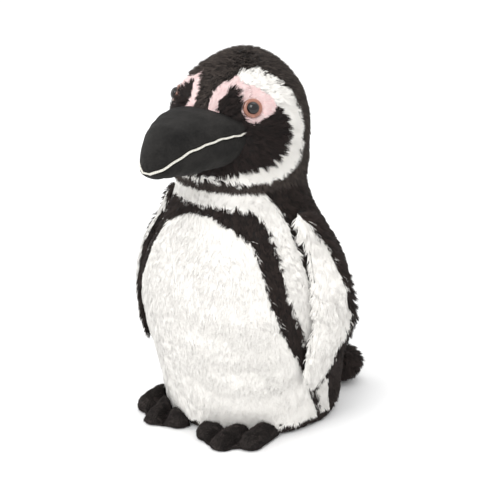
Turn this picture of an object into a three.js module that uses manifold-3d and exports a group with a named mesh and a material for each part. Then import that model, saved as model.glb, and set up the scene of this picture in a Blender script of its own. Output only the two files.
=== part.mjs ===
// Stuffed toy penguin, about 285 mm tall, standing on a flat base.
// Millimetres. +Z up, the toy faces -Y, its own left is +X. The origin is the centre of the base's underside.
import * as THREE from "three";
import { mergeVertices } from "three/addons/utils/BufferGeometryUtils.js";
import Module from "manifold-3d";

const wasm = await Module();
wasm.setup();

// ---- Driving dimensions -------------------------------------------------------------------------

const HEIGHT = 286; // crown above the floor
const BELLY_RADIUS = 79; // widest radius of the trunk
const HEAD_RADIUS = 51; // widest radius of the head
const NECK_Z = 189.5; // level of the seam where the head turns
const GAP = 0.3; // kept between pieces that touch
const SKIN = 3.5; // plush fabric with its flattened pile
const FILL_INSET = 5; // stuffing surface, below the outside of the plush
const FOOT_CLEARANCE = 1.1; // from the faceted panels that the feet are sewn to
const TAIL_CLEARANCE = 2.6; // lets the tail swing to either side
const BASE_THICKNESS = 2.5;
const BASE_RIM = 9; // the base cloth turns up to this height
const PELLET_TOP = 23; // top of the weighted pouch
const HEAD_COLUMNS = 30; // facets around the head and the stuffing
const FILL_COLUMNS = 20;

// Half profile of trunk, neck and head, from the base up to the crown: radius, forward lean, height.
const PROFILE = new THREE.CatmullRomCurve3(
  [
    [BELLY_RADIUS - 15, 0, 0],
    [BELLY_RADIUS - 12.5, 0, 4],
    [BELLY_RADIUS - 10.5, -0.5, 12],
    [BELLY_RADIUS - 8, -2, 36],
    [BELLY_RADIUS - 3, -5, 64],
    [BELLY_RADIUS, -7, 90],
    [BELLY_RADIUS - 2, -9, 114],
    [BELLY_RADIUS - 9, -10, 135],
    [HEAD_RADIUS + 8.5, -12, 154],
    [HEAD_RADIUS + 1.5, -13, 170],
    [HEAD_RADIUS - 2, -14, 184],
    [HEAD_RADIUS - 2, -14, 196],
    [HEAD_RADIUS - 0.5, -15, 214],
    [HEAD_RADIUS, -15, 232],
    [HEAD_RADIUS - 1.5, -15, 244],
    [HEAD_RADIUS - 4.5, -14.5, 254],
    [HEAD_RADIUS - 10, -14, 262],
    [HEAD_RADIUS - 18, -13, 270],
    [HEAD_RADIUS - 27.5, -12, 277],
    [HEAD_RADIUS - 38.5, -11, 282.5],
    [0, -10, HEIGHT],
  ].map(([r, y, z]) => new THREE.Vector3(r, y, z)),
  false,
  "catmullrom",
  0.5
);
const HEAD_AXIS_Y = -15; // forward offset of the head's vertical axis

// Seams on the trunk, drawn on the unrolled skin: degrees from the front, height. Each runs from the
// middle of the chest down to the base on the toy's left, and the right side mirrors it. All three
// have the same number of points, and panels are built between points of the same number.
const BELLY_EDGE = [
  [0, 174], [12, 171.5], [24, 166.5], [36, 161], [44, 155], [46.5, 145], [48, 133],
  [51, 115], [55, 96], [60, 79], [66.5, 64], [74, 42], [85, BASE_RIM],
];
const BLACK_EDGE = [
  [0, 181], [13, 180.5], [27, 180.5], [41, 179.5], [53, 173.5], [60, 161], [60, 146],
  [61, 128], [64, 110], [69, 87], [77, 60], [84, 36], [88, BASE_RIM],
];
const WHITE_EDGE = [
  [0, NECK_Z], [14, NECK_Z], [29, NECK_Z], [44, NECK_Z], [58, NECK_Z], [71, 177], [75.5, 162],
  [76, 142], [76, 120], [79, 93], [86, 65], [94, 38], [100, BASE_RIM],
];
const WHITE_CORNER = 4; // the number of the point where the white band leaves the neck

// Outlines of the face pieces on the toy's left, on the unrolled head: degrees from the front, height.
const FACE_OUTLINE = [
  [0.4, 197.5], [17, 198], [41, 198], [66, 198.5], [82, 201.5], [93, 207.5], [101, 216.5], [102, 226],
  [99, 236], [96, 246], [94, 254], [87, 262.5], [78, 269], [63, 273.5], [45, 274.5], [31, 272.5],
  [24, 269.5], [16, 267.5], [9.5, 263.5], [7.5, 255], [8, 246], [0.4, 246],
];
// The inner edge of the white band; past the band's end it runs outside the face.
const BAND_INNER = [
  [0.4, 200.5], [16, 201], [30, 203.5], [45, 207], [63, 209], [74, 216.5], [81, 228], [78, 242],
  [73, 250], [68, 257.5], [58, 263.5], [45, 266.5], [34, 269], [25, 276], [12, 275], [3, 270], [3, 250],
  [0.4, 250],
];
const EYE_PATCH = [
  [6, 272], [16, 276], [30, 277], [46, 273], [62, 268], [72, 256], [71, 250], [66, 246.5], [58, 243.5],
  [50, 240], [44, 242.5], [39.5, 247.5], [38, 253], [37, 258], [33, 262.5], [28, 264], [23, 259],
  [18, 257], [16.5, 252], [19, 243], [3, 243], [3, 254], [3, 264],
];

// Beak: stations ahead of the head's axis, with half width, top, mouth line and underside heights.
const BEAK_STATIONS = [
  [28, 34, 249.5, 234.5, 206],
  [42, 33.5, 250, 234.5, 205.5],
  [56, 31, 249.5, 234.5, 206],
  [70, 26.5, 247.5, 233, 206.5],
  [84, 20.5, 243, 229.5, 208],
  [95, 14, 237, 225, 210.5],
  [102, 8.5, 231, 221.5, 213.5],
  [106, 3.5, 225, 219, 216.5],
];
const BEAK_CLOTH = 2;
const MOUTH_LINE = 1.5; // height of the pale piping between the mandibles
const BEAK_COLUMNS = 16;

// Eye: snap-in safety eye on a coloured disc.
const EYE_ANGLE = 48;
const EYE_Z = 252;
const EYE_RADIUS = 4.4;
const IRIS_RADIUS = 6.9;
const IRIS_THICKNESS = 1.2;
const SHANK_RADIUS = 1.6;
const SHANK_LENGTH = 11;
const WASHER_RADIUS = 5.5;
const EYE_SIDES = 12;
const IRIS_LOW = -2.2; // the disc sits down in the pile

// Flipper: stations down the toy's left flipper: centre x, y, z, half width, half thickness, and the
// direction of its width in degrees from +X towards +Y.
const FLIPPER_STATIONS = [
  [57, -18, 172.5, 4, 2, 76],
  [62.5, -17, 166, 9.5, 4, 69],
  [70.5, -14, 150, 10.5, 4.6, 64],
  [82.5, -16.5, 125, 14.5, 5.8, 61],
  [88, -17, 98, 17, 6.6, 62],
  [84, -20.5, 75, 16.5, 6.2, 70],
  [80, -22, 60, 15, 5, 71],
  [77.5, -24, 50, 10.5, 3.6, 71],
  [76.5, -26, 45, 4.5, 2, 71],
];
const BATTING_SHARE = 0.55; // of the flipper's thickness
const FLIPPER_COLUMNS = 12;
const RIGHT_FLIPPER_LIFT = 3; // degrees that the right flipper stands off further than the left

// Foot: a padded three-toed mitt on each side, caught in the seam at the front of the base.
const FOOT_X = 31;
const RIGHT_FOOT_SHIFT = [-5, 3.4]; // the right foot is sewn on a little further out and back
const TOE_RADIUS = 9.5;
const TOES = [[-17.5, -72], [0, -78], [17, -65]]; // centre of each toe tip from FOOT_X, and its y
const FOOT_ROOT_Y = -24;
const FOOT_ROOT_HALF = 23;
const FOOT_HEIGHT = 14.5;
const SOLE_THICKNESS = 1.4;
const FOOT_CLOTH = 1.8;

// Tail: a round stub on the back, leaning to the toy's left.
const TAIL_ROOT = [23, 58, 15];
const TAIL_YAW = 36; // degrees from straight back towards the toy's left
const TAIL_RADIUS = 14;
const TAIL_LENGTH = 36;
const TAIL_START = 2; // its gathered neck, this far behind the root
const TAIL_NECK = 0.75; // how strongly the neck is drawn in

// ---- Colours ------------------------------------------------------------------------------------

const material = (color, roughness) => new THREE.MeshStandardMaterial({ color, roughness, metalness: 0 });
const blackPlush = () => material(0x241d1a, 0.95);
const whitePlush = () => material(0xf0ece4, 0.95);
const pinkPlush = () => material(0xf3cbc8, 0.95);
const velour = () => material(0x35312e, 0.85);
const piping = () => material(0xdedace, 0.8);
const stuffing = () => material(0xf4f2ee, 1.0);
const pouchCloth = () => material(0xcfc8ba, 0.9);
const blackPlastic = () => material(0x0c0a0a, 0.08);
const irisPlastic = () => material(0xa9654e, 0.5);
const clearPlastic = () => material(0xe2e2e0, 0.4);

// ---- Solids -------------------------------------------------------------------------------------

const vector = (x, y, z) => new THREE.Vector3(x, y, z);

function geometryFrom(points, triangles) {
  const geometry = new THREE.BufferGeometry();
  const numbers = points.flatMap((p) => [p.x, p.y, p.z]);
  geometry.setAttribute("position", new THREE.Float32BufferAttribute(numbers, 3));
  geometry.setIndex(triangles.flat());
  return outward(mergeVertices(geometry, 1e-4));
}

function signedVolume(geometry) {
  const at = geometry.getAttribute("position");
  const index = geometry.getIndex().array;
  const [a, b, c] = [vector(), vector(), vector()];
  let six = 0;
  for (let i = 0; i < index.length; i += 3) {
    a.fromBufferAttribute(at, index[i]);
    b.fromBufferAttribute(at, index[i + 1]);
    c.fromBufferAttribute(at, index[i + 2]);
    six += a.dot(b.cross(c));
  }
  return six / 6;
}

function outward(geometry) {
  const index = geometry.getIndex().array;
  if (signedVolume(geometry) < 0) {
    for (let i = 0; i < index.length; i += 3) {
      [index[i + 1], index[i + 2]] = [index[i + 2], index[i + 1]];
    }
  }
  return geometry;
}

// A closed solid through rings of equal length, with a fan at each end.
function loft(rings) {
  const n = rings[0].length;
  const points = rings.flat();
  const triangles = [];
  for (let i = 0; i + 1 < rings.length; i++) {
    for (let j = 0; j < n; j++) {
      const a = i * n + j;
      const b = i * n + ((j + 1) % n);
      triangles.push([a, b, b + n], [a, b + n, a + n]);
    }
  }
  for (const [ring, start, flip] of [[rings[0], 0, true], [rings.at(-1), (rings.length - 1) * n, false]]) {
    const middle = ring.reduce((sum, p) => sum.add(p), vector(0, 0, 0)).divideScalar(n);
    points.push(middle);
    for (let j = 0; j < n; j++) {
      const edge = [start + j, start + ((j + 1) % n)];
      triangles.push(flip ? [edge[1], edge[0], points.length - 1] : [edge[0], edge[1], points.length - 1]);
    }
  }
  return geometryFrom(points, triangles);
}

// A panel of cloth: its outside and inside as grids of the same size, closed around the edge.
function panel(rows, columns, at) {
  const points = [];
  for (const inset of [0, SKIN]) {
    for (let i = 0; i <= rows; i++) {
      for (let j = 0; j <= columns; j++) {
        points.push(at(i / rows, j / columns, inset));
      }
    }
  }
  const across = columns + 1;
  const layer = (rows + 1) * across;
  const triangles = [];
  const quad = (a, b, c, d) => triangles.push([a, b, c], [a, c, d]);
  for (let i = 0; i < rows; i++) {
    for (let j = 0; j < columns; j++) {
      const a = i * across + j;
      quad(a, a + 1, a + 1 + across, a + across);
      quad(layer + a + across, layer + a + 1 + across, layer + a + 1, layer + a);
    }
    const left = i * across;
    const right = left + columns;
    quad(left, left + across, layer + left + across, layer + left);
    quad(right + across, right, layer + right, layer + right + across);
  }
  for (let j = 0; j < columns; j++) {
    const top = rows * across + j;
    quad(j + 1, j, layer + j, layer + j + 1);
    quad(top, top + 1, layer + top + 1, layer + top);
  }
  return geometryFrom(points, triangles);
}

function mirrorX(geometry) {
  return outward(geometry.clone().scale(-1, 1, 1));
}

// ---- Cutting ------------------------------------------------------------------------------------

function toManifold(source) {
  const bare = source.clone();
  bare.deleteAttribute("normal");
  bare.deleteAttribute("uv");
  const merged = mergeVertices(bare, 1e-4);
  return new wasm.Manifold(
    new wasm.Mesh({
      numProp: 3,
      vertProperties: new Float32Array(merged.getAttribute("position").array),
      triVerts: new Uint32Array(merged.getIndex().array),
    })
  );
}

function fromManifold(solid) {
  const mesh = solid.getMesh();
  const geometry = new THREE.BufferGeometry();
  geometry.setAttribute("position", new THREE.BufferAttribute(new Float32Array(mesh.vertProperties), 3));
  geometry.setIndex(new THREE.BufferAttribute(new Uint32Array(mesh.triVerts), 1));
  return geometry;
}

// The first geometry, kept inside every one of `within` and cleared of every one of `without`.
function cut(geometry, within, without) {
  let solid = toManifold(geometry);
  for (const other of within) {
    solid = solid.intersect(toManifold(other));
  }
  for (const other of without) {
    solid = solid.subtract(toManifold(other));
  }
  return fromManifold(solid);
}

// ---- The toy's outer form -----------------------------------------------------------------------

function profileAt(z) {
  let [low, high] = [0, 1];
  for (let step = 0; step < 30; step++) {
    const middle = (low + high) / 2;
    if (PROFILE.getPoint(middle).z < z) {
      low = middle;
    } else {
      high = middle;
    }
  }
  return low;
}

// A point on the skin, `inset` below the plush surface, at an angle from the front and a height.
function skinPoint(degrees, z, inset) {
  const u = profileAt(z);
  const p = PROFILE.getPoint(u);
  const before = PROFILE.getPoint(Math.max(u - 0.004, 0));
  const after = PROFILE.getPoint(Math.min(u + 0.004, 1));
  const slope = new THREE.Vector2(after.x - before.x, after.z - before.z).normalize();
  const radius = Math.max(p.x - slope.y * inset, 0.02);
  const angle = THREE.MathUtils.degToRad(degrees);
  return vector(radius * Math.sin(angle), p.y - radius * Math.cos(angle), p.z + slope.x * inset);
}

function formRing(z, inset, columns) {
  const ring = [];
  for (let j = 0; j < columns; j++) {
    ring.push(skinPoint((360 * j) / columns, z, inset));
  }
  return ring;
}

// The form between two heights as a solid, with its end rings flat at those heights.
function form(low, high, inset, columns, levels) {
  const rings = [];
  for (let i = 0; i <= levels; i++) {
    const z = low + ((high - low) * i) / levels;
    const ring = formRing(z, inset, columns);
    if (i === 0 || (i === levels && high < HEIGHT)) {
      ring.forEach((p) => p.setZ(z));
    }
    rings.push(ring);
  }
  return loft(rings);
}

// Heights of the head's rings crowd towards the crown, where the profile turns over.
function headForm(low, inset, columns) {
  const levels = 11;
  const top = HEIGHT - 0.6;
  const rings = [];
  for (let i = 0; i <= levels; i++) {
    const share = Math.sin((Math.PI / 2) * Math.pow(i / levels, 0.9));
    const ring = formRing(low + (top - low) * share, inset, columns);
    if (i === 0) {
      ring.forEach((p) => p.setZ(low));
    }
    rings.push(ring);
  }
  return loft(rings);
}

// ---- Trunk --------------------------------------------------------------------------------------

// Point `k` of a seam, counted from the front to the left for k > 0 and to the right for k < 0, moved
// out across the seam by `shift` so that neighbouring panels keep a gap.
function seamPoint(seam, k, shift) {
  const [degrees, z] = seam[Math.abs(k)];
  const [fromDegrees, fromZ] = seam[Math.max(Math.abs(k) - 1, 0)];
  const [toDegrees, toZ] = seam[Math.min(Math.abs(k) + 1, seam.length - 1)];
  const mmPerDegree = (PROFILE.getPoint(profileAt(z)).x * Math.PI) / 180;
  const along = new THREE.Vector2((toDegrees - fromDegrees) * mmPerDegree, toZ - fromZ).normalize();
  const moved = degrees - (along.y * shift) / mmPerDegree;
  return [Math.sign(k) * moved, THREE.MathUtils.clamp(z + along.x * shift, BASE_RIM + GAP, NECK_Z - GAP)];
}

const lastPoint = BELLY_EDGE.length - 1;

function bellyPanel() {
  return panel(lastPoint - 1, 12, (i, j, inset) => {
    const [degrees, z] = seamPoint(BELLY_EDGE, 1 + Math.round(i * (lastPoint - 1)), -GAP);
    return skinPoint(degrees * (2 * j - 1), z, inset);
  });
}

function chestBand(innerSeam, outerSeam) {
  return panel(2 * lastPoint, 2, (i, j, inset) => {
    const k = Math.round((2 * i - 1) * lastPoint);
    const from = seamPoint(innerSeam, k, GAP);
    const to = seamPoint(outerSeam, k, -GAP);
    return skinPoint(THREE.MathUtils.lerp(from[0], to[0], j), THREE.MathUtils.lerp(from[1], to[1], j), inset);
  });
}

function backPanel() {
  return panel(lastPoint - WHITE_CORNER, 7, (i, j, inset) => {
    const k = WHITE_CORNER + Math.round(i * (lastPoint - WHITE_CORNER));
    const [degrees, z] = seamPoint(WHITE_EDGE, k, 3 * GAP);
    return skinPoint(THREE.MathUtils.lerp(degrees, 180 - GAP / 2, j), z, inset);
  });
}

// The base: a flat round of cloth whose rim turns up to meet the panels.
function basePanel() {
  const ring = (z, inset) => formRing(z, inset, HEAD_COLUMNS).map((p) => p.setZ(z));
  const dish = loft([ring(0, 0), ring(4, 0), ring(BASE_RIM, 0)]);
  const hollow = loft([ring(BASE_THICKNESS, SKIN), ring(4, SKIN), ring(BASE_RIM + 1, SKIN)]);
  return cut(dish, [], [hollow]);
}

// ---- Head ---------------------------------------------------------------------------------------

function grow(outline, amount) {
  const scale = (HEAD_RADIUS * Math.PI) / 180;
  const flat = outline.map((p) => new THREE.Vector2(p.x * scale, p.y));
  const turn = Math.sign(THREE.ShapeUtils.area(flat));
  return flat.map((p, i) => {
    const into = p.clone().sub(flat.at(i - 1)).normalize();
    const out = flat[(i + 1) % flat.length].clone().sub(p).normalize();
    const side = into.add(out).normalize();
    return new THREE.Vector2((p.x + side.y * amount * turn) / scale, p.y - side.x * amount * turn);
  });
}

// Everything seen from the head's axis through an outline drawn on the unrolled head.
function lookThrough(outline, amount) {
  const smooth = new THREE.SplineCurve(outline.map(([degrees, z]) => new THREE.Vector2(degrees, z)));
  const shape = new THREE.Shape(grow(smooth.getPoints(2 * outline.length), amount));
  const geometry = new THREE.ExtrudeGeometry(shape, { depth: 1, bevelEnabled: false });
  const at = geometry.getAttribute("position");
  for (let i = 0; i < at.count; i++) {
    const angle = THREE.MathUtils.degToRad(at.getX(i));
    const radius = at.getZ(i) > 0.5 ? 3 * HEAD_RADIUS : 4;
    at.setXYZ(i, radius * Math.sin(angle), HEAD_AXIS_Y - radius * Math.cos(angle), at.getY(i));
  }
  geometry.deleteAttribute("normal");
  geometry.deleteAttribute("uv");
  return outward(mergeVertices(geometry, 1e-4));
}

function headShell() {
  const outside = headForm(NECK_Z + GAP, 0, HEAD_COLUMNS);
  return cut(outside, [], [headForm(NECK_Z - 5, SKIN, HEAD_COLUMNS)]);
}

// ---- Beak ---------------------------------------------------------------------------------------

const beakCurve = new THREE.CatmullRomCurve3(BEAK_STATIONS.map(([f, w, top]) => vector(f, w, top)));
const mouthCurve = new THREE.CatmullRomCurve3(
  BEAK_STATIONS.map(([f, , , mouth, under]) => vector(f, mouth, under)),
);

function beakRing(share, inset) {
  const { x: ahead, y: halfWidth, z: top } = beakCurve.getPoint(share);
  const { y: mouth, z: under } = mouthCurve.getPoint(share);
  const ring = [];
  for (let j = 0; j < BEAK_COLUMNS; j++) {
    const angle = (2 * Math.PI * (j + 0.5)) / BEAK_COLUMNS;
    const rise = Math.sin(angle);
    const height = Math.max(rise > 0 ? top - mouth : mouth - under, inset + 0.6) - inset;
    const width = Math.max(halfWidth, inset + 0.6) - inset;
    ring.push(vector(width * Math.cos(angle), HEAD_AXIS_Y - ahead, mouth + height * rise));
  }
  return ring;
}

function beakForm(inset, last) {
  const steps = 9;
  const rings = [];
  for (let i = 0; i <= steps; i++) {
    rings.push(beakRing(last * Math.sin((Math.PI / 2) * (i / steps)), inset));
  }
  return loft(rings);
}

// A slab as wide as the beak, between two heights measured from the mouth line.
function mouthSlab(low, high) {
  const side = [0, 0.2, 0.4, 0.6, 0.8, 1].map((share) => mouthCurve.getPoint(share));
  side.push(vector(side.at(-1).x + 10, side.at(-1).y - 4, 0));
  const shape = new THREE.Shape([
    ...side.map((p) => new THREE.Vector2(p.x, p.y + low)),
    ...side.toReversed().map((p) => new THREE.Vector2(p.x, p.y + high)),
  ]);
  const width = 3 * HEAD_RADIUS;
  const geometry = new THREE.ExtrudeGeometry(shape, { depth: width, bevelEnabled: false });
  const across = new THREE.Matrix4().makeBasis(vector(0, -1, 0), vector(0, 0, 1), vector(-1, 0, 0));
  return geometry.applyMatrix4(across).translate(width / 2, HEAD_AXIS_Y, 0);
}

// ---- Eyes ---------------------------------------------------------------------------------------

function lathe(profile) {
  const geometry = new THREE.LatheGeometry(profile.map(([r, y]) => new THREE.Vector2(r, y)), EYE_SIDES);
  geometry.deleteAttribute("normal");
  geometry.deleteAttribute("uv");
  geometry.rotateX(Math.PI / 2);
  const merged = mergeVertices(geometry, 1e-4);
  const index = merged.getIndex().array;
  const kept = [];
  for (let i = 0; i < index.length; i += 3) {
    const [a, b, c] = index.slice(i, i + 3);
    if (a !== b && b !== c && a !== c) {
      kept.push(a, b, c);
    }
  }
  merged.setIndex(kept);
  return outward(merged);
}

// Eye pieces are turned about +Z, with +Z out of the head, then set on the skin.
function onFace(geometry) {
  const on = skinPoint(EYE_ANGLE, EYE_Z, 0);
  const inside = skinPoint(EYE_ANGLE, EYE_Z, 4);
  const turn = new THREE.Quaternion().setFromUnitVectors(vector(0, 0, 1), on.clone().sub(inside).normalize());
  return geometry.applyQuaternion(turn).translate(on.x, on.y, on.z);
}

const EYE_LOW = IRIS_LOW + IRIS_THICKNESS + GAP;

function eyePiece() {
  const dome = [];
  for (let k = 0; k <= 5; k++) {
    const angle = (Math.PI / 2) * (k / 5);
    dome.push([EYE_RADIUS * Math.cos(angle), EYE_LOW + 0.8 + EYE_RADIUS * 0.62 * Math.sin(angle)]);
  }
  return onFace(
    lathe([
      [0, -SHANK_LENGTH], [SHANK_RADIUS, -SHANK_LENGTH], [SHANK_RADIUS, EYE_LOW], [EYE_RADIUS, EYE_LOW], ...dome,
    ])
  );
}

function irisPiece() {
  const hole = SHANK_RADIUS + GAP;
  const [low, high] = [IRIS_LOW, IRIS_LOW + IRIS_THICKNESS];
  const edge = IRIS_RADIUS - 0.5;
  return onFace(lathe([[hole, low], [IRIS_RADIUS, low], [edge, high], [hole, high], [hole, low]]));
}

function washerPiece() {
  const hole = SHANK_RADIUS + GAP;
  const high = -FILL_INSET - 0.6;
  const low = high - 1;
  return onFace(lathe([[hole, low], [WASHER_RADIUS, low], [WASHER_RADIUS, high], [hole, high], [hole, low]]));
}

// The pocket that washer, shank and disc take up in the stuffing and in the plush.
function eyePocket() {
  const [shank, washer, iris] = [SHANK_RADIUS + GAP, WASHER_RADIUS + GAP, IRIS_RADIUS + GAP];
  const low = -FILL_INSET - 2;
  return onFace(
    lathe([
      [0, -SHANK_LENGTH - GAP], [shank, -SHANK_LENGTH - GAP], [shank, low], [washer, low], [washer, 0.5 - SKIN],
      [shank, 0.5 - SKIN], [shank, IRIS_LOW - GAP], [iris, IRIS_LOW - GAP], [iris, 6], [0, 6],
    ])
  );
}

// ---- Flippers -----------------------------------------------------------------------------------

const flipperCentre = new THREE.CatmullRomCurve3(FLIPPER_STATIONS.map(([x, y, z]) => vector(x, y, z)));
const flipperSize = new THREE.CatmullRomCurve3(FLIPPER_STATIONS.map((s) => vector(s[3], s[4], s[5])));

// One D-shaped or lens-shaped section; `faces` is 1 for the front half, -1 for the back half, 0 for both.
function flipperRing(share, faces, shrink) {
  const centre = flipperCentre.getPoint(share);
  const size = flipperSize.getPoint(share);
  const turn = THREE.MathUtils.degToRad(size.z);
  const along = vector(Math.cos(turn), Math.sin(turn), 0);
  const out = vector(Math.sin(turn), -Math.cos(turn), 0);
  const halfWidth = size.x - shrink * 3;
  const halfThick = shrink ? size.y * BATTING_SHARE : size.y;
  const ring = [];
  for (let j = 0; j < FLIPPER_COLUMNS; j++) {
    const span = faces ? j / (FLIPPER_COLUMNS - 1) : (2 * j) / FLIPPER_COLUMNS;
    const angle = Math.PI * span;
    const thick = Math.sin(angle) * halfThick;
    const lift = faces ? faces * Math.max(thick, GAP / 2) : thick;
    ring.push(centre.clone().addScaledVector(along, halfWidth * Math.cos(angle)).addScaledVector(out, lift));
  }
  return ring;
}

function flipperLoft(faces, shrink) {
  const steps = 8;
  const [first, last] = shrink ? [0.06, 0.94] : [0, 1];
  const rings = [];
  for (let i = 0; i <= steps; i++) {
    rings.push(flipperRing(first + ((last - first) * i) / steps, faces, shrink));
  }
  return loft(rings);
}

// ---- Feet ---------------------------------------------------------------------------------------

// Where the round ends of two neighbouring toes meet, at the front of the notch between them.
function toeNotch(one, two) {
  const middle = one.clone().add(two).divideScalar(2);
  const apart = two.clone().sub(one);
  const half = Math.sqrt(Math.max(TOE_RADIUS ** 2 - apart.lengthSq() / 4, 0));
  const forward = new THREE.Vector2(apart.y, -apart.x).normalize();
  return middle.addScaledVector(forward, half);
}

// The foot seen from above, anticlockwise: two root corners and a round end on each toe.
function footOutline() {
  const toes = TOES.map(([x, y]) => new THREE.Vector2(FOOT_X + x, y));
  const angleTo = (toe, p) => (Math.atan2(p.y - toe.y, p.x - toe.x) + 2 * Math.PI) % (2 * Math.PI);
  const shape = new THREE.Shape();
  shape.moveTo(FOOT_X + FOOT_ROOT_HALF, FOOT_ROOT_Y);
  shape.lineTo(FOOT_X - FOOT_ROOT_HALF, FOOT_ROOT_Y);
  toes.forEach((toe, i) => {
    const start = i > 0 ? angleTo(toe, toeNotch(toes[i - 1], toe)) : Math.PI;
    const end = i + 1 < toes.length ? angleTo(toe, toeNotch(toe, toes[i + 1])) : 2 * Math.PI;
    shape.absarc(toe.x, toe.y, TOE_RADIUS, start, end, false);
  });
  const points = shape.getPoints(4).slice(0, -1);
  return points.filter((p, i) => p.distanceTo(points.at(i - 1)) > 0.5);
}

function insetOutline(points, amount) {
  const turn = Math.sign(THREE.ShapeUtils.area(points));
  return points.map((p, i) => {
    const into = p.clone().sub(points.at(i - 1)).normalize();
    const out = points[(i + 1) % points.length].clone().sub(p).normalize();
    const side = into.clone().add(out).normalize();
    const reach = amount / Math.max(side.dot(out), 0.5);
    return new THREE.Vector2(p.x - side.y * reach * turn, p.y + side.x * reach * turn);
  });
}

function footRings(levels) {
  const outline = footOutline();
  return loft(levels.map(([z, inset]) => insetOutline(outline, inset).map((p) => vector(p.x, p.y, z))));
}

// ---- Tail ---------------------------------------------------------------------------------------

function tailRing(along, radius) {
  const yaw = THREE.MathUtils.degToRad(TAIL_YAW);
  const back = vector(Math.sin(yaw), Math.cos(yaw), 0);
  const side = vector(Math.cos(yaw), -Math.sin(yaw), 0);
  const root = vector(...TAIL_ROOT).addScaledVector(back, along);
  const ring = [];
  for (let j = 0; j < 16; j++) {
    const angle = (2 * Math.PI * j) / 16;
    const across = root.clone().addScaledVector(side, radius * Math.cos(angle));
    ring.push(across.setZ(root.z + radius * Math.sin(angle)));
  }
  return ring;
}

function tailForm(inset, start) {
  const rings = [];
  const steps = 8;
  for (let i = 0; i <= steps; i++) {
    const share = i / steps;
    const drawn = share > 0.5 ? 0.96 : TAIL_NECK;
    const swell = Math.sqrt(1 - Math.pow(2 * share - 1, 2) * drawn);
    const radius = Math.max(TAIL_RADIUS * swell - inset, 0.6);
    rings.push(tailRing(start + (TAIL_LENGTH - inset - start) * share, radius));
  }
  return loft(rings);
}

// ---- Assembly -----------------------------------------------------------------------------------

const toy = new THREE.Group();

function add(name, geometry, look) {
  const mesh = new THREE.Mesh(geometry, look);
  mesh.name = name;
  toy.add(mesh);
}

function addPair(name, geometry, look) {
  add(name.replace("SIDE", "left"), geometry, look);
  add(name.replace("SIDE", "right"), mirrorX(geometry), look);
}

function addTrunk() {
  add("body_fill", form(PELLET_TOP + GAP, NECK_Z - GAP, FILL_INSET, FILL_COLUMNS, 14), stuffing());
  add("pellet_bag", form(BASE_THICKNESS + GAP, PELLET_TOP, FILL_INSET, FILL_COLUMNS, 3), pouchCloth());
  add("base_panel", basePanel(), blackPlush());
  add("belly_panel", bellyPanel(), whitePlush());
  add("chest_band_black", chestBand(BELLY_EDGE, BLACK_EDGE), blackPlush());
  add("chest_band_white", chestBand(BLACK_EDGE, WHITE_EDGE), whitePlush());
  addPair("back_panel_SIDE", backPanel(), blackPlush());
}

function addHead() {
  const shell = headShell();
  const beak = beakForm(-GAP, 1);
  const pocket = eyePocket();
  const face = lookThrough(FACE_OUTLINE, GAP / 2);
  const band = lookThrough(FACE_OUTLINE, -GAP / 2);
  const inner = lookThrough(BAND_INNER, -GAP / 2);
  const patch = lookThrough(EYE_PATCH, -GAP / 2);
  const aroundPatch = lookThrough(EYE_PATCH, GAP / 2);
  add("crown_panel", cut(shell, [], [face, mirrorX(face), beak]), blackPlush());
  addPair("brow_band_SIDE", cut(shell, [band], [lookThrough(BAND_INNER, GAP / 2), beak]), whitePlush());
  addPair("eye_patch_SIDE", cut(shell, [band, patch, inner], [beak, pocket]), pinkPlush());
  addPair("cheek_panel_SIDE", cut(shell, [band, inner], [aroundPatch, beak]), blackPlush());
  const fill = headForm(NECK_Z + GAP, FILL_INSET, FILL_COLUMNS);
  add("head_fill", cut(fill, [], [pocket, mirrorX(pocket)]), stuffing());
}

function addBeak() {
  const head = headForm(NECK_Z, FILL_INSET - 2 * GAP, HEAD_COLUMNS);
  const outside = beakForm(0, 1);
  const hollow = beakForm(BEAK_CLOTH, 0.97);
  const half = MOUTH_LINE / 2;
  const reach = HEAD_RADIUS;
  add("beak_upper", cut(outside, [mouthSlab(half + GAP, reach)], [head, hollow]), velour());
  add("beak_lower", cut(outside, [mouthSlab(-reach, -half - GAP)], [head, hollow]), velour());
  add("mouth_line", cut(outside, [mouthSlab(-half, half)], [head, hollow]), piping());
  add("beak_fill", cut(beakForm(BEAK_CLOTH + GAP, 0.96), [], [head]), stuffing());
}

function addEyes() {
  addPair("eye_SIDE", eyePiece(), blackPlastic());
  addPair("iris_SIDE", irisPiece(), irisPlastic());
  addPair("eye_washer_SIDE", washerPiece(), clearPlastic());
}

// The right flipper is the left one mirrored, then swung out about its shoulder seam.
function addFlipperPair(name, geometry, look) {
  const [, , shoulder] = FLIPPER_STATIONS[0];
  const right = mirrorX(geometry).translate(FLIPPER_STATIONS[0][0], 0, -shoulder);
  right.rotateY(THREE.MathUtils.degToRad(RIGHT_FLIPPER_LIFT));
  add(name.replace("SIDE", "left"), geometry, look);
  add(name.replace("SIDE", "right"), right.translate(-FLIPPER_STATIONS[0][0], 0, shoulder), look);
}

function addFlippers() {
  const room = flipperLoft(0, 0.9);
  addFlipperPair("flipper_SIDE_white", cut(flipperLoft(1, 0), [], [room]), whitePlush());
  addFlipperPair("flipper_SIDE_black", cut(flipperLoft(-1, 0), [], [room]), blackPlush());
  addFlipperPair("flipper_SIDE_batting", flipperLoft(0, 1), stuffing());
}

function addFootPair(name, geometry, hollows, look) {
  const trunk = form(-5, 40, -FOOT_CLEARANCE, HEAD_COLUMNS, 4);
  const [aside, back] = RIGHT_FOOT_SHIFT;
  const onRight = (piece) => mirrorX(piece).translate(aside, back, 0);
  add(name.replace("SIDE", "left"), cut(geometry, [], [trunk, ...hollows]), look);
  add(name.replace("SIDE", "right"), cut(onRight(geometry), [], [trunk, ...hollows.map(onRight)]), look);
}

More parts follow.
